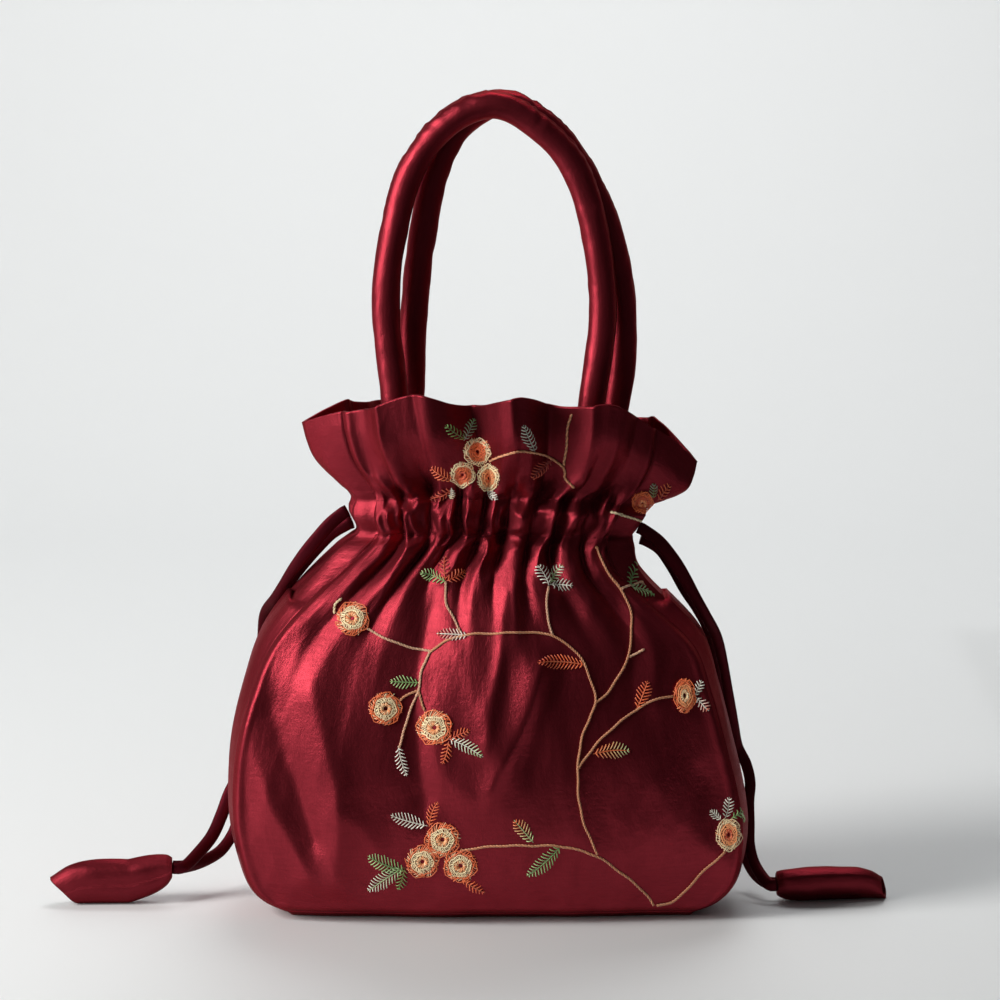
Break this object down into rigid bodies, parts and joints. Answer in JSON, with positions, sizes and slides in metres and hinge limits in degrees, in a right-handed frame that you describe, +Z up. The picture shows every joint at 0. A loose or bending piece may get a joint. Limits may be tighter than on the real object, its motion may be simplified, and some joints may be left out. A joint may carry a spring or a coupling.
{
  "type": "drawstring evening bag",
  "caption": "Gathered satin drawstring evening bag with a flat-bottomed gusset, a ruffled collar, padded loop handles and side drawcords that end in soft tassels.",
  "frame": {"origin": "under the middle of the bag, on the surface that it stands on, cords left out", "axes": "+Z up, +X to the right seen from the embroidered front, which faces -Y"},
  "size_m": [0.3738, 0.1136, 0.3672],
  "materials": {
    "satin": "burgundy satin with a soft sheen",
    "cord_satin": "dark burgundy satin tube, pressed flat"
  },
  "bodies": {
    "root": {"front_panel": "satin", "back_panel": "satin", "gusset": "satin", "front_handle": "satin", "back_handle": "satin", "left_drawcord_a": "cord_satin", "left_drawcord_b": "cord_satin", "right_drawcord_a": "cord_satin", "right_drawcord_b": "cord_satin", "left_tassel": "satin", "right_tassel": "satin"}
  },
  "joints": []
}
